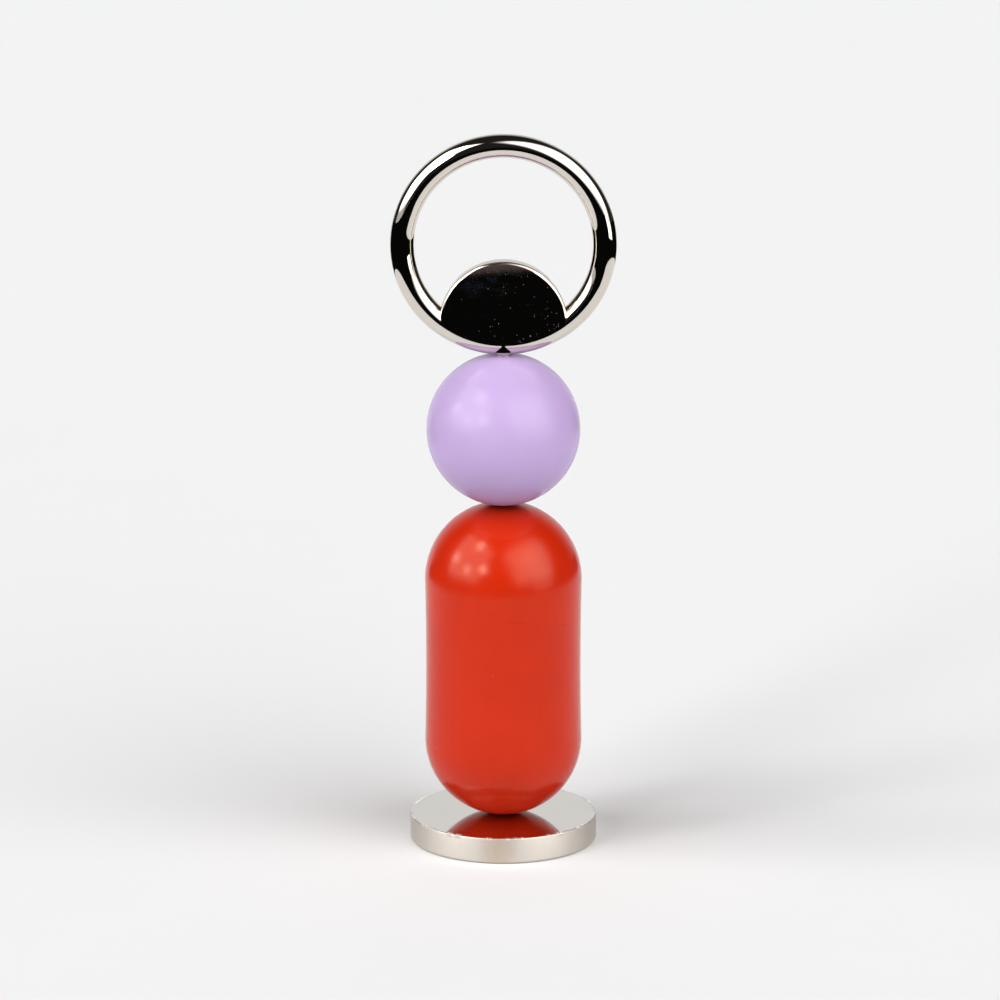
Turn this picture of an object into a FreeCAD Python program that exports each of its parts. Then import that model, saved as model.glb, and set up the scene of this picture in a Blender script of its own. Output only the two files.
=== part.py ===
"""Magnetic desk sculpture: a steel disc, a capsule, a ball and a ring, stacked pole to pole.

Millimetres, +Z up. The origin is the centre of the underside, where the pad meets the desk.
The ring stands in the XZ plane, with its front face towards -Y.
"""
import FreeCAD, Part
import os
import Sketcher

DIMENSIONS = {
    # base: a plated steel disc on a thin pad that is let into its underside
    "base_diameter": 39.0,
    "steel_thickness": 5.5,
    "top_edge_round": 0.25,
    "foot_edge_round": 0.6,
    "recess_diameter": 34.0,
    "recess_depth": 0.95,
    "pad_diameter": 33.8,
    "pad_thickness": 1.0,
    # capsule: two domes and a side that is very slightly waisted
    "capsule_length": 67.2,
    "capsule_diameter": 32.7,
    "waist_diameter": 32.3,
    # ball
    "ball_diameter": 32.0,
    # magnets: stock cylinders, glued into blind pockets at the poles
    "magnet_diameter": 3.0,
    "magnet_length": 6.0,
    "magnet_chamfer": 0.15,
    "pocket_clearance": 0.05,
    # ring: a bent rod whose two ends meet the rim of a coin, which has a round foot below.
    # The coin's face and the foot stand a hair proud of the rod, so they close over its crest.
    "rod_diameter": 5.0,
    "ring_diameter": 47.0,
    "coin_radius": 13.3,
    "coin_drop": 16.5,
    "coin_face": 2.51,  # how far its face stands in front of the ring's own plane
    "coin_thickness": 3.4,
    "coin_edge_round": 0.7,
    "foot_diameter": 5.04,
    "foot_height": 8.0,
    "foot_chamfer": 0.85,
    "foot_magnet_stand": 0.1,
}

# heights of the faces that touch, as expressions on the sheet
PAD_STAND = "(sizes.pad_thickness - sizes.recess_depth)"
BASE_TOP = f"({PAD_STAND} + sizes.steel_thickness)"
CAPSULE_TOP = f"({BASE_TOP} + sizes.capsule_length)"
BALL_TOP = f"({CAPSULE_TOP} + sizes.ball_diameter)"
RING_BOTTOM = f"({BALL_TOP} + sizes.foot_magnet_stand)"
RING_CENTRE = f"({RING_BOTTOM} + sizes.ring_diameter / 2)"
POCKET_RADIUS = "(sizes.magnet_diameter / 2 + sizes.pocket_clearance)"
RING_MEAN_RADIUS = "((sizes.ring_diameter - sizes.rod_diameter) / 2)"

Z_AXIS = FreeCAD.Vector(0, 0, 1)
ALONG_Y = FreeCAD.Rotation(FreeCAD.Vector(1, 0, 0), 90)  # turns a shape's own Z axis to -Y
CAPSULE_WAIST_ARC = 600.0  # first guess of the side's arc radius, which the sketch then solves

doc = FreeCAD.newDocument("magnetic_desk_sculpture")
sheet = doc.addObject("Spreadsheet::Sheet", "sizes")
for row, (alias, value) in enumerate(DIMENSIONS.items(), start=1):
    sheet.set(f"A{row}", alias)
    sheet.set(f"B{row}", str(value))
    sheet.setAlias(f"B{row}", alias)
doc.recompute()

nodes = []


def keep(feature, label):
    """Marks a finished feature as one sub-part, and its label as the name of its file."""
    feature.Label = label
    nodes.append(feature)
    return feature


def set_height(feature, expression):
    feature.setExpression(".Placement.Base.z", expression)


def origin_plane(body, role):
    return next(item for item in body.Origin.OriginFeatures if item.Role == role)


def new_sketch(body, name, role):
    sketch = body.newObject("Sketcher::SketchObject", name)
    sketch.AttachmentSupport = (origin_plane(body, role), [""])
    sketch.MapMode = "FlatFace"
    return sketch


def value_of(expression):
    """The number that an expression on the sheet has now."""
    return float(sheet.evalExpression(expression.replace("sizes.", "")))


def dimension(sketch, kind, expression, *references):
    """Adds a dimensional constraint that follows an expression on the sheet."""
    index = sketch.addConstraint(Sketcher.Constraint(kind, *references, value_of(expression)))
    sketch.setExpression(f"Constraints[{index}]", expression)


def circle_sketch(body, name, role, radius):
    """A circle about the body's origin on one of its origin planes."""
    sketch = new_sketch(body, name, role)
    start = value_of(radius)
    sketch.addGeometry(Part.Circle(FreeCAD.Vector(), Z_AXIS, start))
    sketch.addConstraint(Sketcher.Constraint("Coincident", 0, 3, -1, 1))
    dimension(sketch, "Radius", radius, 0)
    return sketch


def pad_circle(body, name, role, radius, length, middle=False):
    sketch = circle_sketch(body, name + "_circle", role, radius)
    pad = body.newObject("PartDesign::Pad", name + "_pad")
    pad.Profile = sketch
    pad.Midplane = middle
    pad.setExpression("Length", length)
    doc.recompute()
    return pad


def circular_edges(feature, test):
    """The names of a feature's circular edges that pass a test."""
    return [
        f"Edge{number}"
        for number, edge in enumerate(feature.Shape.Edges, start=1)
        if isinstance(edge.Curve, Part.Circle) and test(edge)
    ]


def dress(body, kind, name, base, edges, size_property, size):
    """Adds a fillet or a chamfer to the named edges of a feature."""
    feature = body.newObject(kind, name)
    feature.Base = (base, edges)
    feature.setExpression(size_property, size)
    doc.recompute()
    return feature


def build_base_disc():
    body = doc.addObject("PartDesign::Body", "base_disc_body")
    pad_circle(body, "base_disc", "XY_Plane", "sizes.base_diameter / 2", "sizes.steel_thickness")
    recess = body.newObject("PartDesign::Pocket", "base_disc_recess")
    recess.Profile = circle_sketch(body, "recess_circle", "XY_Plane", "sizes.recess_diameter / 2")
    recess.Reversed = True
    recess.setExpression("Length", "sizes.recess_depth")
    doc.recompute()
    outer = sheet.base_diameter / 2
    top = circular_edges(recess, lambda e: e.Curve.Center.z > sheet.recess_depth)
    top_round = dress(
        body, "PartDesign::Fillet", "top_round", recess, top, "Radius", "sizes.top_edge_round"
    )
    foot = circular_edges(
        top_round, lambda e: e.Curve.Center.z < sheet.recess_depth / 2 and abs(e.Curve.Radius - outer) < 0.01
    )
    dress(body, "PartDesign::Fillet", "foot_round", top_round, foot, "Radius", "sizes.foot_edge_round")
    set_height(body, PAD_STAND)
    keep(body, "base_disc")


def build_base_pad():
    pad = doc.addObject("Part::Cylinder", "base_pad_disc")
    pad.setExpression("Radius", "sizes.pad_diameter / 2")
    pad.setExpression("Height", "sizes.pad_thickness")
    keep(pad, "base_pad")


def build_domed_body(name, diameter, length, height, waist=None):
    """A turned body with a blind magnet pocket in each pole, made as its upper half and mirrored.

    With no waist the body is a ball. With one, a shallow arc runs from each dome to the middle.
    """
    body = doc.addObject("PartDesign::Body", name + "_body")
    sketch = new_sketch(body, name + "_profile", "XZ_Plane")
    dome = value_of(diameter) / 2
    pole = value_of(length) / 2
    pocket = value_of(POCKET_RADIUS)
    centre = pole - dome
    rim = centre + (dome**2 - pocket**2) ** 0.5
    floor = pole - sheet.magnet_length
    points = [
        FreeCAD.Vector(0, 0, 0),
        FreeCAD.Vector(0, floor, 0),
        FreeCAD.Vector(pocket, floor, 0),
        FreeCAD.Vector(pocket, rim, 0),
    ]
    for start, end in zip(points, points[1:]):
        sketch.addGeometry(Part.LineSegment(start, end))
    axis_line, floor_line, wall_line = 0, 1, 2
    rim_angle = FreeCAD.Vector(pocket, rim - centre, 0).getAngle(FreeCAD.Vector(1, 0, 0))
    dome_circle = Part.Circle(FreeCAD.Vector(0, centre, 0), Z_AXIS, dome)
    dome_arc = sketch.addGeometry(Part.ArcOfCircle(dome_circle, 0, rim_angle))
    outline_end = (dome_arc, 1)
    if waist:
        neck = value_of(waist) / 2
        side_circle = Part.Circle(FreeCAD.Vector(neck + CAPSULE_WAIST_ARC, 0, 0), Z_AXIS, CAPSULE_WAIST_ARC)
        turn = centre / CAPSULE_WAIST_ARC
        side_arc = sketch.addGeometry(Part.ArcOfCircle(side_circle, 3.14159265 - turn, 3.14159265))
        sketch.addConstraint(Sketcher.Constraint("Tangent", dome_arc, 1, side_arc, 1))
        sketch.addConstraint(Sketcher.Constraint("PointOnObject", side_arc, 3, -1))
        outline_end = (side_arc, 2)
    end_x = neck if waist else dome
    base_line = sketch.addGeometry(Part.LineSegment(FreeCAD.Vector(end_x, 0, 0), FreeCAD.Vector(0, 0, 0)))
    for first, second in (
        ((axis_line, 1), (-1, 1)),
        ((axis_line, 2), (floor_line, 1)),
        ((floor_line, 2), (wall_line, 1)),
        ((wall_line, 2), (dome_arc, 2)),
        (outline_end, (base_line, 1)),
        ((base_line, 2), (-1, 1)),
    ):
        sketch.addConstraint(Sketcher.Constraint("Coincident", *first, *second))
    sketch.addConstraint(Sketcher.Constraint("Vertical", axis_line))
    sketch.addConstraint(Sketcher.Constraint("Horizontal", floor_line))
    sketch.addConstraint(Sketcher.Constraint("Vertical", wall_line))
    sketch.addConstraint(Sketcher.Constraint("Horizontal", base_line))
    dimension(sketch, "DistanceX", POCKET_RADIUS, floor_line, 1, floor_line, 2)
    dimension(sketch, "DistanceY", f"{length} / 2 - sizes.magnet_length", axis_line, 1, axis_line, 2)
    dimension(sketch, "Radius", f"{diameter} / 2", dome_arc)
    if waist:
        sketch.addConstraint(Sketcher.Constraint("PointOnObject", dome_arc, 3, -2))
        dimension(sketch, "DistanceY", f"({length} - {diameter}) / 2", -1, 1, dome_arc, 3)
        dimension(sketch, "DistanceX", f"{waist} / 2", base_line, 2, base_line, 1)
    else:
        sketch.addConstraint(Sketcher.Constraint("Coincident", dome_arc, 3, -1, 1))
    doc.recompute()

    half = body.newObject("PartDesign::Revolution", name + "_half")
    half.Profile = sketch
    half.ReferenceAxis = (sketch, ["V_Axis"])
    half.Angle = 360
    doc.recompute()
    whole = body.newObject("PartDesign::Mirrored", name + "_mirrored")
    whole.Originals = [half]
    whole.MirrorPlane = (origin_plane(body, "XY_Plane"), [""])
    body.Tip = whole
    set_height(body, height)
    keep(body, name)


def build_magnet(name, height):
    """A plated cylinder magnet, chamfered at both ends, with its lower end at the height."""
    body = doc.addObject("PartDesign::Body", name + "_body")
    pad = pad_circle(body, name, "XY_Plane", "sizes.magnet_diameter / 2", "sizes.magnet_length")
    ends = circular_edges(pad, lambda e: True)
    dress(body, "PartDesign::Chamfer", name + "_chamfer", pad, ends, "Size", "sizes.magnet_chamfer")
    set_height(body, height)
    keep(body, name)


def cylinder(name, radius, height, level, rotation=FreeCAD.Rotation()):
    """A cylinder that starts at a level, or one turned along Y and centred on the XZ plane."""
    shape = doc.addObject("Part::Cylinder", name)
    shape.setExpression("Radius", radius)
    shape.setExpression("Height", height)
    shape.Placement = FreeCAD.Placement(FreeCAD.Vector(), rotation)
    set_height(shape, level)
    if rotation == ALONG_Y:
        shape.setExpression(".Placement.Base.y", f"({height}) / 2")
    return shape


def boolean(kind, name, first, second):
    feature = doc.addObject(kind, name)
    feature.Base = first
    feature.Tool = second
    return feature


def build_ring():
    """The hoop is a torus cut off at the coin's rim. The coin is a rounded disc that stops at the
    middle of the rod, joined to the part of the torus inside its rim and to the foot. Its face is
    level with the rod's front, and its back is let in."""
    torus = doc.addObject("Part::Torus", "ring_torus")
    torus.setExpression("Radius1", RING_MEAN_RADIUS)
    torus.setExpression("Radius2", "sizes.rod_diameter / 2")
    torus.Placement = FreeCAD.Placement(FreeCAD.Vector(), ALONG_Y)
    set_height(torus, RING_CENTRE)

    coin_level = f"({RING_CENTRE} - sizes.coin_drop)"
    rim_cutter = cylinder("rim_cutter", "sizes.coin_radius", "sizes.rod_diameter * 2", coin_level, ALONG_Y)
    hoop = boolean("Part::Cut", "hoop_cut", torus, rim_cutter)
    keep(hoop, "ring_hoop")

    blank = doc.addObject("PartDesign::Body", "coin_blank")
    disc = pad_circle(blank, "coin", "XZ_Plane", "sizes.coin_radius", "sizes.coin_thickness", middle=True)
    rims = circular_edges(disc, lambda e: True)
    dress(blank, "PartDesign::Fillet", "coin_round", disc, rims, "Radius", "sizes.coin_edge_round")
    set_height(blank, coin_level)
    blank.setExpression(".Placement.Base.y", "sizes.coin_thickness / 2 - sizes.coin_face")

    web = cylinder("web_disc", RING_MEAN_RADIUS, "sizes.rod_diameter * 2", RING_CENTRE, ALONG_Y)
    plate = boolean("Part::Common", "coin_plate", blank, web)
    rod = boolean("Part::Common", "coin_rod", torus, rim_cutter)

    foot_start = f"({RING_BOTTOM} + sizes.foot_chamfer)"
    foot = cylinder("foot_post", "sizes.foot_diameter / 2", "sizes.foot_height", foot_start)
    foot_end = doc.addObject("Part::Cone", "foot_end")
    foot_end.setExpression("Radius1", "sizes.foot_diameter / 2 - sizes.foot_chamfer")
    foot_end.setExpression("Radius2", "sizes.foot_diameter / 2")
    foot_end.setExpression("Height", "sizes.foot_chamfer")
    set_height(foot_end, RING_BOTTOM)
    footed = doc.addObject("Part::MultiFuse", "footed_coin")
    footed.Shapes = [plate, rod, foot, foot_end]
    bore = cylinder("foot_bore", POCKET_RADIUS, "sizes.magnet_length", BALL_TOP)
    coin = boolean("Part::Cut", "coin_cut", footed, bore)
    keep(coin, "ring_coin")


build_base_disc()
build_base_pad()
build_magnet("capsule_lower_magnet", BASE_TOP)
build_domed_body(
    "capsule_body",
    "sizes.capsule_diameter",
    "sizes.capsule_length",
    f"{BASE_TOP} + sizes.capsule_length / 2",
    waist="sizes.waist_diameter",
)
build_magnet("capsule_upper_magnet", f"{CAPSULE_TOP} - sizes.magnet_length")
build_magnet("ball_lower_magnet", CAPSULE_TOP)
build_domed_body(
    "ball_body",
    "sizes.ball_diameter",
    "sizes.ball_diameter",
    f"{CAPSULE_TOP} + sizes.ball_diameter / 2",
)
build_magnet("ball_upper_magnet", f"{BALL_TOP} - sizes.magnet_length")
build_magnet("ring_magnet", BALL_TOP)
build_ring()
doc.recompute()

for feature in doc.Objects:
    if "Invalid" in feature.State or "Error" in feature.State:
        raise RuntimeError(f"{feature.Name} failed: {feature.State}")
for node in nodes:
    if node.Shape.isNull() or not node.Shape.isValid():
        raise RuntimeError(f"{node.Label} has no valid shape")
    if len(node.Shape.Solids) != 1:
        raise RuntimeError(f"{node.Label} has {len(node.Shape.Solids)} solids")

os.makedirs("parts", exist_ok=True)
for node in nodes:
    node.Shape.exportStep(f"parts/{node.Label}.step")
    solid = node.Shape.Solids[0]
    print(f"{node.Label:22s} {solid.Volume:9.1f} mm3, centre at z {solid.CenterOfMass.z:7.2f}")
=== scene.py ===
"""Magnetic desk sculpture: its finished surfaces, studio and camera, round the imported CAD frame.

Metres, +Z up, in the frame's own axes. The ring stands in the XZ plane and faces -Y.
"""
import math

import bmesh
import bpy
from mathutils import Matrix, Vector


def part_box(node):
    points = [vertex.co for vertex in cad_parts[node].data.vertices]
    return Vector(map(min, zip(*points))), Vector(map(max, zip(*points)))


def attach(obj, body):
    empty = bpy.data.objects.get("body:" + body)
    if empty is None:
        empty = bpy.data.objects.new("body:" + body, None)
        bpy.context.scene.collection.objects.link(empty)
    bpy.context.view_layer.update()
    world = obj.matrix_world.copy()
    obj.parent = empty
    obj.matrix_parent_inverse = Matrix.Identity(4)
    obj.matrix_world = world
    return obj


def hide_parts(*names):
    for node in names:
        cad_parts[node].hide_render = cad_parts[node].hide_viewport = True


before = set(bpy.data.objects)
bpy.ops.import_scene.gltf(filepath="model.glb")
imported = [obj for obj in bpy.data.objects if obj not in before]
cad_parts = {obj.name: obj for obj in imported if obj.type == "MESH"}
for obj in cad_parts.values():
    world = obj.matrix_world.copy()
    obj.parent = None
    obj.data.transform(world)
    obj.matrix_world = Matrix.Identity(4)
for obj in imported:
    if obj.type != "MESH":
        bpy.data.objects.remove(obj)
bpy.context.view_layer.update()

MM = 0.001

# ---------------------------------------------------------------- sizes that the frame states by its boxes
BASE_LOW, BASE_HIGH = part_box("base_disc")
PAD_LOW, PAD_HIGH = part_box("base_pad")
CAPSULE_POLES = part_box("capsule_lower_magnet")[0].z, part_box("capsule_upper_magnet")[1].z
BALL_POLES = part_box("ball_lower_magnet")[0].z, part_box("ball_upper_magnet")[1].z
HOOP_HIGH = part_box("ring_hoop")[1]

BASE_RADIUS = 19.5 * MM
BASE_TOP_ROUND = 0.25 * MM
BASE_FOOT_ROUND = 0.6 * MM
RECESS_RADIUS = 17.0 * MM
DOME_RADIUS = 16.35 * MM
WAIST_RADIUS = 16.15 * MM
BALL_RADIUS = 16.0 * MM
POCKET_RADIUS = 1.55 * MM
POCKET_DEPTH = 6.0 * MM
ROD_RADIUS = 2.5 * MM
RING_MEAN_RADIUS = 21.0 * MM
RING_CENTRE = HOOP_HIGH.z - RING_MEAN_RADIUS - ROD_RADIUS
COIN_RADIUS = 13.3 * MM
COIN_DROP = 16.5 * MM
HAIRLINE_DEPTH = 21.5 * MM


# ---------------------------------------------------------------- node helpers
class Nodes:
    """Short names for building one shader tree."""

    def __init__(self, tree):
        self.tree = tree

    def add(self, kind, **settings):
        node = self.tree.nodes.new(kind)
        for key, value in settings.items():
            setattr(node, key, value)
        return node

    def feed(self, socket, value):
        if isinstance(value, bpy.types.NodeSocket):
            self.tree.links.new(value, socket)
        else:
            socket.default_value = value

    def math(self, operation, *values, clamp=False):
        node = self.add("ShaderNodeMath", operation=operation, use_clamp=clamp)
        for socket, value in zip(node.inputs, values):
            self.feed(socket, value)
        return node.outputs[0]

    def product(self, first, *others):
        for value in others:
            first = self.math("MULTIPLY", first, value)
        return first

    def vector(self, operation, *values):
        node = self.add("ShaderNodeVectorMath", operation=operation)
        for socket, value in zip(node.inputs, values):
            self.feed(socket, value)
        return node.outputs["Value"] if operation in ("DOT_PRODUCT", "LENGTH") else node.outputs["Vector"]

    def ramp(self, value, low, high, to_low=0.0, to_high=1.0):
        node = self.add("ShaderNodeMapRange", interpolation_type="SMOOTHSTEP")
        for socket, item in zip(node.inputs, (value, low, high, to_low, to_high)):
            self.feed(socket, item)
        return node.outputs["Result"]

    def mix(self, factor, first, second):
        node = self.add("ShaderNodeMix", data_type="RGBA")
        self.feed(node.inputs["Factor"], factor)
        self.feed(node.inputs["A"], first)
        self.feed(node.inputs["B"], second)
        return node.outputs["Result"]

    def noise(self, vector, scale, detail=2.0, roughness=0.5):
        node = self.add("ShaderNodeTexNoise")
        self.feed(node.inputs["Vector"], vector)
        node.inputs["Scale"].default_value = scale
        node.inputs["Detail"].default_value = detail
        node.inputs["Roughness"].default_value = roughness
        return node.outputs["Fac"]

    def specks(self, vector, scale, radius, share):
        """A mask of round specks, from a number of cells per metre, a speck's radius as a share of a cell,
        and the share of cells that have one."""
        node = self.add("ShaderNodeTexVoronoi")
        self.feed(node.inputs["Vector"], vector)
        node.inputs["Scale"].default_value = scale
        chosen = self.add("ShaderNodeSeparateColor")
        self.feed(chosen.inputs[0], node.outputs["Color"])
        present = self.math("LESS_THAN", chosen.outputs[0], share)
        size = self.product(self.math("MULTIPLY_ADD", chosen.outputs[1], 0.6, 0.4), radius)
        return self.product(self.math("LESS_THAN", node.outputs["Distance"], size), present)

    def combine(self, x, y=0.0, z=0.0):
        node = self.add("ShaderNodeCombineXYZ")
        for socket, value in zip(node.inputs, (x, y, z)):
            self.feed(socket, value)
        return node.outputs[0]

    def parts(self, vector):
        node = self.add("ShaderNodeSeparateXYZ")
        self.feed(node.inputs[0], vector)
        return node.outputs[:3]

    def bump(self, height, distance, strength=1.0, normal=None):
        node = self.add("ShaderNodeBump")
        node.inputs["Strength"].default_value = strength
        node.inputs["Distance"].default_value = distance
        self.feed(node.inputs["Height"], height)
        if normal:
            self.feed(node.inputs["Normal"], normal)
        return node.outputs["Normal"]


def new_material(name):
    material = bpy.data.materials.new(name)
    material.use_nodes = True
    nodes = Nodes(material.node_tree)
    shader = material.node_tree.nodes["Principled BSDF"]
    place = nodes.add("ShaderNodeTexCoord").outputs["Object"]
    return material, nodes, shader, place


def rgb(red, green, blue):
    """A colour given as display values from 0 to 255, in the linear values that shaders use."""
    def linear(value):
        value /= 255
        return value / 12.92 if value <= 0.04045 else ((value + 0.055) / 1.055) ** 2.4
    return (linear(red), linear(green), linear(blue), 1.0)


# ---------------------------------------------------------------- materials
NIB_COLOUR = (0.9, 0.8, 0.8, 1)
# Darkening for pits and the hairline, and also for the painted contact shade at the poles.
MARK_AND_CONTACT_SHADE = 0.25
NICKEL = (0.74, 0.69, 0.62, 1)
DUST = (0.36, 0.35, 0.34, 1)
TARNISH = (0.32, 0.23, 0.21, 1)
SMEAR = (0.30, 0.42, 0.60, 1)


def hairline(n, place, height):
    """A faint broken scratch on the front right of a piece, which falls towards its side."""
    x, y, z = n.parts(place)
    slope = n.math("MULTIPLY_ADD", x, -0.04, height)
    slope = n.math("MULTIPLY_ADD", n.math("ADD", y, WAIST_RADIUS), -0.28, slope)
    wander = n.math("MULTIPLY_ADD", n.noise(place, 90, 2), 0.4 * MM, slope)
    away = n.math("ABSOLUTE", n.math("SUBTRACT", z, wander))
    line = n.ramp(away, 0.05 * MM, 0.2 * MM, 1.0, 0.0)
    right = n.ramp(x, -1 * MM, 3 * MM)
    front = n.ramp(y, -1 * MM, 2 * MM, 0.4, 0.0)
    return n.product(line, right, front, n.ramp(n.noise(place, 200, 2), 0.3, 0.6))


def painted_pole_shade(n, place, poles):
    """Painted contact shade: a mask round the poles, at these heights, where the pieces touch and shade
    each other.
    """
    x, y, z = n.parts(place)
    radius = n.vector("LENGTH", n.combine(x, y))
    near = 0.0
    for pole in poles:
        level = n.math("LESS_THAN", n.math("ABSOLUTE", n.math("SUBTRACT", z, pole)), 2 * MM)
        near = n.math("MAXIMUM", near, level)
    return n.product(near, n.ramp(radius, 2 * MM, 5.2 * MM, 1.0, 0.0))


def lacquer(name, colour, shade, gloss, level, tint, specks_share, mottle, relief, poles, line_height=None):
    """Sprayed satin lacquer: slight mottling, fine orange peel, a few nibs and pits in the film, and
    painted contact shade darkening the lacquer round the poles."""
    material, n, shader, place = new_material(name)
    line = hairline(n, place, line_height) if line_height else 0.0
    # Painted shade: the lacquer is darkened round the poles, where the pieces touch and shade each other.
    pole_shade = painted_pole_shade(n, place, poles)
    cloud = n.ramp(n.noise(place, 90, 3), 0.35, 0.65)
    grain = n.ramp(n.noise(n.vector("MULTIPLY", place, (1, 1, 0.12)), 900, 3), 0.4, 0.75)
    tone = n.mix(n.math("MULTIPLY_ADD", grain, 0.4 * mottle, n.product(cloud, mottle)), colour, shade)
    nibs = n.specks(place, 420, 0.06, specks_share)
    pits = n.specks(n.vector("ADD", place, (0.3, 0.1, 0.2)), 330, 0.05, specks_share)
    tone = n.mix(n.product(nibs, 0.3), tone, NIB_COLOUR)
    # The hairline and pits are real marks in the film; the darkening round the poles is painted shade.
    marks_and_shade = n.product(n.math("MAXIMUM", line, pole_shade), 0.6)
    marks_and_shade = n.math("MAXIMUM", n.product(pits, 0.45), marks_and_shade)
    tone = n.mix(marks_and_shade, tone, tuple(MARK_AND_CONTACT_SHADE * part for part in shade[:3]) + (1,))
    n.feed(shader.inputs["Base Color"], tone)
    fine = n.noise(place, 2600, 2)
    n.feed(shader.inputs["Roughness"], n.math("MULTIPLY_ADD", fine, 0.06 * relief, gloss - 0.03 * relief))
    peel = n.bump(n.noise(place, 700, 2), 0.0018 * MM * relief)
    peel = n.bump(fine, 0.0002 * MM * relief, normal=peel)
    n.feed(shader.inputs["Normal"], n.bump(n.math("SUBTRACT", nibs, pits), 0.01 * MM * relief, normal=peel))
    shader.inputs["IOR"].default_value = 1.5
    shader.inputs["Specular IOR Level"].default_value = level
    shader.inputs["Specular Tint"].default_value = tint
    return material


def mirror_nickel(name, dust, film):
    """Polished plate with a faint haze and dust lying on it. The film is a thin tarnish and smear
    at the top of the coin."""
    material, n, shader, place = new_material(name)
    x, y, z = n.parts(place)
    haze = n.noise(place, 160, 4, 0.6)
    low_right = n.vector("LENGTH", n.vector("SUBTRACT", place, (8 * MM, -3 * MM, RING_CENTRE - 17 * MM)))
    share = n.ramp(low_right, 3 * MM, 18 * MM, dust, 0.12 * dust)
    specks = n.math("MAXIMUM", n.specks(place, 900, 0.09, share), n.specks(place, 2200, 0.16, share))
    crown = n.math("MULTIPLY_ADD", n.noise(place, 300, 3), 2.4 * MM, n.product(x, -0.06))
    crown = n.math("ADD", z, crown)
    face = n.ramp(y, -2.45 * MM, -2.35 * MM, 1.0, 0.0)
    tarnish = n.ramp(crown, RING_CENTRE - 5.0 * MM, RING_CENTRE - 2.8 * MM)
    tarnish = n.product(tarnish, 0.12 * film, face)
    cloud = n.ramp(n.noise(n.vector("MULTIPLY", place, (0.6, 1, 1.4)), 300, 5, 0.75), 0.48, 0.75)
    smear = n.product(cloud, n.ramp(crown, RING_CENTRE - 11.5 * MM, RING_CENTRE - 6 * MM))
    smear = n.product(smear, n.ramp(x, -2 * MM, 3 * MM, 1.0, 0.0), 0.03 * film, face)
    tone = n.mix(n.math("GREATER_THAN", smear, 0.004), NICKEL, SMEAR)
    tone = n.mix(n.math("GREATER_THAN", tarnish, 0.01), tone, TARNISH)
    n.feed(shader.inputs["Base Color"], n.mix(specks, tone, DUST))
    dull = n.math("MAXIMUM", specks, n.math("ADD", tarnish, smear), clamp=True)
    n.feed(shader.inputs["Metallic"], n.math("SUBTRACT", 1.0, dull))
    rough = n.math("MULTIPLY_ADD", haze, 0.03, 0.015)
    n.feed(shader.inputs["Roughness"], n.math("MULTIPLY_ADD", specks, 0.6, rough))
    n.feed(shader.inputs["Normal"], n.bump(n.noise(place, 3000, 2), 0.00006 * MM))
    return material


def satin_nickel(name):
    """The magnets' barrel-plated finish."""
    material, n, shader, place = new_material(name)
    cloud = n.noise(place, 1200, 4, 0.6)
    n.feed(shader.inputs["Base Color"], n.mix(cloud, (0.74, 0.70, 0.66, 1), (0.64, 0.61, 0.58, 1)))
    shader.inputs["Metallic"].default_value = 1.0
    n.feed(shader.inputs["Roughness"], n.math("MULTIPLY_ADD", cloud, 0.2, 0.3))
    n.feed(shader.inputs["Normal"], n.bump(cloud, 0.004 * MM))
    return material


def nicks(n, place, height, reach):
    """Small knocks along the top edge of the base, in random patches round it."""
    x, y, z = n.parts(place)
    radius = n.vector("LENGTH", n.combine(x, y))
    turn = n.product(n.math("ARCTAN2", x, n.product(y, -1.0)), BASE_RADIUS)
    fine = n.noise(n.combine(turn), 1400, 3, 0.7)
    patch = n.noise(n.combine(turn, 7 * MM), 170, 2)
    near_rim = n.ramp(radius, BASE_RADIUS - reach, BASE_RADIUS - 0.3 * reach)
    near_top = n.ramp(z, height - reach, height - 0.3 * reach)
    return n.product(near_rim, near_top, n.ramp(fine, 0.48, 0.56), n.ramp(patch, 0.45, 0.55))


def lapped_nickel(name):
    """The base's top face: bright, but a little softer than the ring, with fine scratches and knocks."""
    material, n, shader, place = new_material(name)
    knocks = nicks(n, place, BASE_HIGH.z, 0.9 * MM)
    scratch = n.noise(n.vector("MULTIPLY", place, (1.0, 0.05, 1.0)), 5000, 2)
    cross = n.noise(n.vector("MULTIPLY", place, (0.05, 1.0, 1.0)), 4000, 2)
    tone = n.mix(n.noise(place, 200, 3), (0.82, 0.79, 0.75, 1), (0.78, 0.75, 0.70, 1))
    n.feed(shader.inputs["Base Color"], n.mix(n.product(knocks, 0.8), tone, (0.95, 0.93, 0.90, 1)))
    shader.inputs["Metallic"].default_value = 1.0
    n.feed(shader.inputs["Roughness"], n.math("MULTIPLY_ADD", n.noise(place, 300, 4, 0.7), 0.06, 0.03))
    normal = n.bump(n.math("ADD", scratch, cross), 0.00008 * MM)
    n.feed(shader.inputs["Normal"], n.bump(knocks, 0.2 * MM, normal=normal))
    return material


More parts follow.
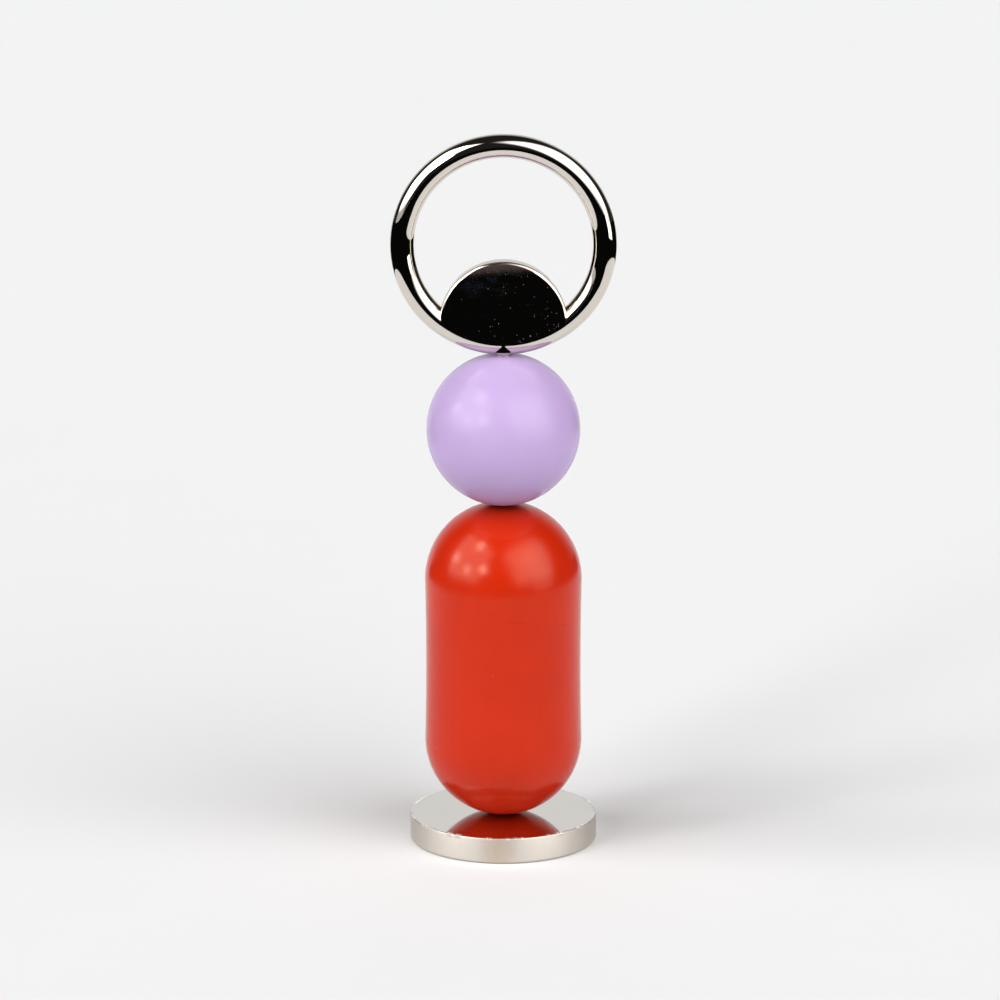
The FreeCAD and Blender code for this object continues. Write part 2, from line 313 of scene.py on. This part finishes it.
def turned_nickel(name):
    """The base's side: a satin turned finish that streaks round it, with a warm brown reflection painted in
    a band down its front and back.
    """
    material, n, shader, place = new_material(name)
    knocks = nicks(n, place, BASE_HIGH.z, 0.7 * MM)
    streaks = n.noise(n.vector("MULTIPLY", place, (0.04, 0.04, 1.0)), 7000, 3)
    patches = n.noise(n.vector("MULTIPLY", place, (1, 1, 0.4)), 260, 3)
    x, y, z = n.parts(place)
    # Painted reflection: a warm brown band down the side near x = 0, at the front and back.
    warm_reflection = n.ramp(n.math("ABSOLUTE", n.math("ADD", x, 1 * MM)), 1.5 * MM, 5 * MM, 0.75, 0.0)
    tone = n.mix(n.product(patches, 0.6), (0.63, 0.585, 0.53, 1), (0.54, 0.495, 0.44, 1))
    tone = n.mix(n.product(warm_reflection, n.ramp(patches, 0.3, 0.7, 0.4, 1.0)), tone, (0.54, 0.43, 0.33, 1))
    n.feed(shader.inputs["Base Color"], n.mix(n.product(knocks, 0.6), tone, (0.9, 0.88, 0.84, 1)))
    shader.inputs["Metallic"].default_value = 1.0
    shader.inputs["Anisotropic"].default_value = 0.35
    shader.inputs["Anisotropic Rotation"].default_value = 0.25
    round_it = n.add("ShaderNodeTangent", direction_type="RADIAL", axis="Z")
    n.feed(shader.inputs["Tangent"], round_it.outputs[0])
    n.feed(shader.inputs["Roughness"], n.math("MULTIPLY_ADD", patches, 0.15, 0.42))
    bump = n.bump(streaks, 0.002 * MM)
    bump = n.bump(patches, 0.012 * MM, normal=bump)
    n.feed(shader.inputs["Normal"], n.bump(knocks, 0.2 * MM, normal=bump))
    return material


def pad_rubber(name):
    """The non-slip sheet under the base."""
    material, n, shader, place = new_material(name)
    grain = n.noise(place, 1800, 3)
    n.feed(shader.inputs["Base Color"], n.mix(grain, (0.012, 0.012, 0.013, 1), (0.03, 0.03, 0.032, 1)))
    n.feed(shader.inputs["Roughness"], n.math("MULTIPLY_ADD", grain, 0.2, 0.7))
    n.feed(shader.inputs["Normal"], n.bump(grain, 0.03 * MM))
    return material


RED = lacquer(
    "red_lacquer",
    colour=(0.43, 0.0157, 0.0021, 1),
    shade=(0.39, 0.0142, 0.0018, 1),
    gloss=0.21,
    level=0.33,
    tint=(1.0, 0.76, 0.55, 1),
    specks_share=0.1,
    mottle=0.6,
    relief=1.0,
    poles=CAPSULE_POLES,
    line_height=CAPSULE_POLES[1] - HAIRLINE_DEPTH,
)
LILAC = lacquer(
    "lilac_lacquer",
    colour=(0.380, 0.277, 0.482, 1),
    shade=(0.364, 0.260, 0.469, 1),
    gloss=0.27,
    level=0.25,
    tint=(1, 1, 1, 1),
    specks_share=0.04,
    mottle=0.35,
    relief=0.35,
    poles=BALL_POLES[:1],
)
MIRROR = mirror_nickel("mirror_nickel", 0.05, 0.0)
COIN = mirror_nickel("coin_nickel", 0.22, 1.0)
LAPPED = lapped_nickel("lapped_nickel")
TURNED = turned_nickel("turned_nickel")
MAGNET = satin_nickel("magnet_nickel")
PAD = pad_rubber("pad_rubber")


# ---------------------------------------------------------------- mesh helpers
def new_piece(name, vertices, faces, materials, body, replaces):
    mesh = bpy.data.meshes.new(name)
    mesh.from_pydata(vertices, [], faces)
    mesh.update()
    for material in materials:
        mesh.materials.append(material)
    mesh.shade_smooth()
    piece = bpy.data.objects.new(name, mesh)
    bpy.context.collection.objects.link(piece)
    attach(piece, body)
    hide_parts(*replaces)
    return piece


def sharpen(piece, degrees):
    """Marks the edges that turn by more than an angle as sharp, so that flats stay flat."""
    bm = bmesh.new()
    bm.from_mesh(piece.data)
    bmesh.ops.recalc_face_normals(bm, faces=bm.faces)
    for edge in bm.edges:
        edge.smooth = edge.calc_face_angle(0) < math.radians(degrees)
    bm.to_mesh(piece.data)
    bm.free()


def arc(centre_r, centre_z, radius, start, end, steps):
    """Points (r, z) of an arc in a lathe profile, angles in degrees from +r towards +z."""
    angles = (math.radians(start + (end - start) * i / steps) for i in range(steps + 1))
    return [(centre_r + radius * math.cos(a), centre_z + radius * math.sin(a)) for a in angles]


def lathe(profile, segments):
    """Vertices and faces of a profile of (r, z) points turned about Z. A point with r = 0 becomes one
    vertex."""
    vertices, rows = [], []
    for r, z in profile:
        if r < 1e-9:
            rows.append([len(vertices)] * segments)
            vertices.append((0, 0, z))
            continue
        rows.append(list(range(len(vertices), len(vertices) + segments)))
        for i in range(segments):
            a = 2 * math.pi * i / segments
            vertices.append((r * math.sin(a), -r * math.cos(a), z))
    faces = []
    for low, high in zip(rows, rows[1:]):
        for i in range(segments):
            j = (i + 1) % segments
            corners = [low[i], low[j], high[j], high[i]]
            faces.append([v for k, v in enumerate(corners) if v not in corners[:k]])
    return vertices, faces


# ---------------------------------------------------------------- pieces
def make_base():
    low, high = BASE_LOW.z, BASE_HIGH.z
    floor = PAD_HIGH.z
    ease = 0.05 * MM
    edge = BASE_RADIUS - BASE_TOP_ROUND
    profile = [(0, floor), (RECESS_RADIUS, floor), (RECESS_RADIUS, low)]
    profile += [(RECESS_RADIUS + ease, low)]
    profile += arc(BASE_RADIUS - BASE_FOOT_ROUND, low + BASE_FOOT_ROUND, BASE_FOOT_ROUND, -90, 0, 8)
    profile += arc(edge, high - BASE_TOP_ROUND, BASE_TOP_ROUND, 0, 90, 6)
    profile += [(edge - ease, high), (edge - 2 * MM, high), (0, high)]
    vertices, faces = lathe(profile, 480)
    finishes = [LAPPED, TURNED]
    piece = new_piece("base_disc_plated", vertices, faces, finishes, "base", ["base_disc"])
    for polygon in piece.data.polygons:
        polygon.material_index = 0 if polygon.normal.z > 0.9 else 1
    sharpen(piece, 40)


def make_pad():
    low, high = PAD_LOW.z, PAD_HIGH.z
    radius = PAD_HIGH.x
    soft = 0.08 * MM
    profile = [(0, low), (radius - 1 * MM, low), (radius - soft, low)]
    profile += arc(radius - soft, low + soft, soft, -90, 0, 4)
    profile += arc(radius - soft, high - soft, soft, 0, 90, 4) + [(radius - 1 * MM, high), (0, high)]
    vertices, faces = lathe(profile, 240)
    piece = new_piece("base_pad_sheet", vertices, faces, [PAD], "base", ["base_pad"])
    sharpen(piece, 40)


def domed_profile(poles, dome, waist=None):
    """Profile of a ball or a capsule, from the lower pocket's floor to the upper one's."""
    low, high = poles
    middle = (low + high) / 2
    centre = high - dome - middle
    rim_angle = math.degrees(math.acos(POCKET_RADIUS / dome))
    if waist:
        gap = dome - waist
        side = (waist**2 + centre**2 - dome**2) / (2 * gap)
        turn = math.degrees(math.asin(centre / (dome + side)))
        upper = arc(waist + side, 0, side, 180, 180 - turn, 24)
        upper += arc(0, centre, dome, -turn, rim_angle, 90)[1:]
    else:
        upper = arc(0, centre, dome, 0, rim_angle, 172)
    pocket = high - middle - POCKET_DEPTH
    upper += [(POCKET_RADIUS, pocket), (0, pocket)]
    lower = [(r, -z) for r, z in reversed(upper[1:])]
    return [(r, z + middle) for r, z in lower + upper]


def make_turned(name, node, profile, segments, material, body):
    vertices, faces = lathe(profile, segments)
    piece = new_piece(name, vertices, faces, [material], body, [node])
    sharpen(piece, 40)


def make_magnet(node, body):
    low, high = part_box(node)
    radius, chamfer = high.x, 0.15 * MM
    profile = [(0, low.z), (radius - chamfer, low.z)]
    profile += arc(radius - chamfer, low.z + chamfer, chamfer, -90, 0, 4)[1:]
    profile += arc(radius - chamfer, high.z - chamfer, chamfer, 0, 90, 4) + [(0, high.z)]
    vertices, faces = lathe(profile, 96)
    piece = new_piece(node + "_plated", vertices, faces, [MAGNET], body, [node])
    sharpen(piece, 25)


def make_hoop():
    """The rod, bent round from one side of the coin's rim to the other."""
    tube_steps, ring_steps = 96, 720
    vertices, faces = [], []
    for k in range(tube_steps):
        tube = 2 * math.pi * k / tube_steps
        radius = RING_MEAN_RADIUS + ROD_RADIUS * math.cos(tube)
        depth = ROD_RADIUS * math.sin(tube)
        cut = math.acos((radius**2 + COIN_DROP**2 - COIN_RADIUS**2) / (2 * radius * COIN_DROP))
        for i in range(ring_steps + 1):
            turn = cut + (2 * math.pi - 2 * cut) * i / ring_steps
            vertices.append((radius * math.sin(turn), depth, RING_CENTRE - radius * math.cos(turn)))
    row = ring_steps + 1
    for k in range(tube_steps):
        m = (k + 1) % tube_steps
        for i in range(ring_steps):
            faces.append([k * row + i, k * row + i + 1, m * row + i + 1, m * row + i])
    for end in (0, ring_steps):
        faces.append([k * row + end for k in range(tube_steps)])
    piece = new_piece("ring_hoop_rod", vertices, faces, [MIRROR], "ring", ["ring_hoop"])
    sharpen(piece, 40)


def dress_coin():
    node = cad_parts["ring_coin"]
    node.data.materials.clear()
    node.data.materials.append(COIN)


make_base()
make_pad()
capsule_profile = domed_profile(CAPSULE_POLES, DOME_RADIUS, WAIST_RADIUS)
make_turned("capsule_lacquered", "capsule_body", capsule_profile, 320, RED, "capsule")
ball_profile = domed_profile(BALL_POLES, BALL_RADIUS)
make_turned("ball_lacquered", "ball_body", ball_profile, 280, LILAC, "ball")
for node, body in (
    ("capsule_lower_magnet", "capsule_seat"),
    ("capsule_upper_magnet", "capsule"),
    ("ball_lower_magnet", "ball_seat"),
    ("ball_upper_magnet", "ball"),
    ("ring_magnet", "ring_seat"),
):
    make_magnet(node, body)
make_hoop()
dress_coin()


# ---------------------------------------------------------------- studio
PAPER = (0.87, 0.87, 0.875, 1)
LOW_LIGHT = 1.1
BACKDROP_LIGHT = 0.92
ROOM_LIGHT = 0.02
TABLE_REACH = 6.0
# azimuth, elevation, half width, half height, soft edge, strength
SOFT_BOXES = (
    (-65, 34, 0.54, 0.50, 0.08, 4.0),
    (49, 34, 0.62, 0.52, 0.26, 4.6),
    (-67, 5, 0.45, 0.16, 0.05, 0.6 * LOW_LIGHT),
    (61, 5, 0.30, 0.30, 0.05, LOW_LIGHT),
)
# azimuth, elevation, radius in degrees, strength: four bulbs in the left box, and the right box's middle
GLOWS = (
    (-60, 55, 8, 16.0),
    (-33, 26, 8, 20.0),
    (-60, 20, 8, 12.0),
    (-88, 25, 8, 11.0),
    (51, 35, 22, 1.5),
)


def direction(azimuth, elevation):
    """Unit vector from the object. Azimuth 0 is the camera's side and 90 the right."""
    a, e = math.radians(azimuth), math.radians(elevation)
    return Vector((math.sin(a) * math.cos(e), -math.cos(a) * math.cos(e), math.sin(e)))


def soft_box(n, ray, azimuth, elevation, width, height, edge):
    """A rectangle of light in one direction: 1 inside, 0 outside, with its half sizes as tangents."""
    out = direction(azimuth, elevation)
    side = out.cross(Vector((0, 0, 1))).normalized()
    rise = side.cross(out)
    ahead = n.vector("DOT_PRODUCT", ray, out)
    safe = n.math("MAXIMUM", ahead, 0.01)
    masks = [n.math("GREATER_THAN", ahead, 0.0)]
    for axis, half in ((side, width), (rise, height)):
        offset = n.math("ABSOLUTE", n.math("DIVIDE", n.vector("DOT_PRODUCT", ray, axis), safe))
        masks.append(n.ramp(offset, half - edge, half + edge, 1.0, 0.0))
    return n.product(*masks)


def glow(n, ray, azimuth, elevation, spread):
    """A round soft spot of light."""
    near = n.vector("DOT_PRODUCT", ray, direction(azimuth, elevation))
    return n.ramp(near, math.cos(math.radians(spread)), 1.0)


def make_world():
    """The studio as directions of light. The camera itself sees pale paper."""
    world = bpy.data.worlds.new("studio")
    bpy.context.scene.world = world
    world.use_nodes = True
    tree = world.node_tree
    tree.nodes.clear()
    n = Nodes(tree)
    ray = n.vector("NORMALIZE", n.add("ShaderNodeTexCoord").outputs["Generated"])
    level = ROOM_LIGHT
    for *shape, strength in SOFT_BOXES:
        level = n.math("MULTIPLY_ADD", soft_box(n, ray, *shape), strength, level)
    for *shape, strength in GLOWS:
        level = n.math("MULTIPLY_ADD", glow(n, ray, *shape), strength, level)
    backdrop = n.ramp(n.vector("DOT_PRODUCT", ray, (0, 1, 0)), 0.55, 0.95)
    level = n.math("MULTIPLY_ADD", backdrop, BACKDROP_LIGHT, level)
    studio = n.add("ShaderNodeBackground")
    n.feed(studio.inputs["Strength"], level)
    paper = n.add("ShaderNodeBackground")
    paper.inputs["Color"].default_value = PAPER
    choose = n.add("ShaderNodeMixShader")
    n.feed(choose.inputs["Fac"], n.add("ShaderNodeLightPath").outputs["Is Camera Ray"])
    n.feed(choose.inputs[1], studio.outputs[0])
    n.feed(choose.inputs[2], paper.outputs[0])
    n.feed(n.add("ShaderNodeOutputWorld").inputs["Surface"], choose.outputs[0])


def stage_sheet(name, vertices, faces, material):
    mesh = bpy.data.meshes.new(name)
    mesh.from_pydata(vertices, [], faces)
    mesh.materials.append(material)
    sheet = bpy.data.objects.new(name, mesh)
    bpy.context.collection.objects.link(sheet)
    return sheet


def sector(name, start, end, inner, outer, height, material):
    """A flat sector round the object, between two azimuths in degrees and two radii."""
    vertices, faces = [], []
    for azimuth in range(start, end + 1, 2):
        a = math.radians(azimuth)
        vertices += [(r * math.sin(a), -r * math.cos(a), height) for r in (inner, outer)]
    for i in range(0, len(vertices) - 2, 2):
        faces.append((i, i + 1, i + 3, i + 2))
    return stage_sheet(name, vertices, faces, material)


def reflected_only(sheet):
    sheet.visible_camera = False
    sheet.visible_diffuse = False
    sheet.visible_shadow = False


def make_floor():
    """A pale table, which fills the view."""
    material, n, shader, place = new_material("pale_table")
    tone = n.mix(n.noise(place, 30, 3), (0.633, 0.634, 0.636, 1), (0.645, 0.645, 0.647, 1))
    n.feed(shader.inputs["Base Color"], tone)
    shader.inputs["Roughness"].default_value = 0.6
    shader.inputs["Specular IOR Level"].default_value = 0.0
    far = TABLE_REACH
    corners = [(-far, -far, 0), (far, -far, 0), (far, far, 0), (-far, far, 0)]
    stage_sheet("floor", corners, [(0, 1, 2, 3)], material)


def make_cards():
    """Flat cards on the table that only reflections show. The room beyond the table is dark, and the
    foot of the right soft box stands in it."""
    black, _, shader, _ = new_material("dark_room")
    shader.inputs["Base Color"].default_value = (0.002, 0.002, 0.002, 1)
    shader.inputs["Roughness"].default_value = 1.0
    shader.inputs["Specular IOR Level"].default_value = 0.0
    reflected_only(sector("dark_room_left", -140, 30, 0.27, TABLE_REACH, 1 * MM, black))
    reflected_only(sector("dark_room_right", 30, 150, 0.36, TABLE_REACH, 1 * MM, black))
    lit, _, shader, _ = new_material("box_foot")
    shader.inputs["Emission Color"].default_value = (1, 1, 1, 1)
    shader.inputs["Emission Strength"].default_value = LOW_LIGHT
    reflected_only(sector("box_foot_right", 46, 76, 0.70, TABLE_REACH, 2 * MM, lit))


def make_camera():
    """The view from the front, 16 degrees above the desk, through a long lens."""
    elevation = math.radians(15.8)
    distance = 2.2
    frame_width = 208.3 * MM
    aim = Vector((-0.7 * MM, 0, 73.4 * MM))
    data = bpy.data.cameras.new("camera")
    data.lens = data.sensor_width * distance / frame_width
    camera = bpy.data.objects.new("camera", data)
    back = Vector((0, -math.cos(elevation), math.sin(elevation)))
    camera.location = aim + back * distance
    camera.rotation_euler = (math.pi / 2 - elevation, 0, 0)
    data.clip_start = 0.01
    data.clip_end = 50
    bpy.context.collection.objects.link(camera)
    bpy.context.scene.camera = camera


make_world()
make_floor()
make_cards()
make_camera()
bpy.context.scene.view_settings.view_transform = "Standard"
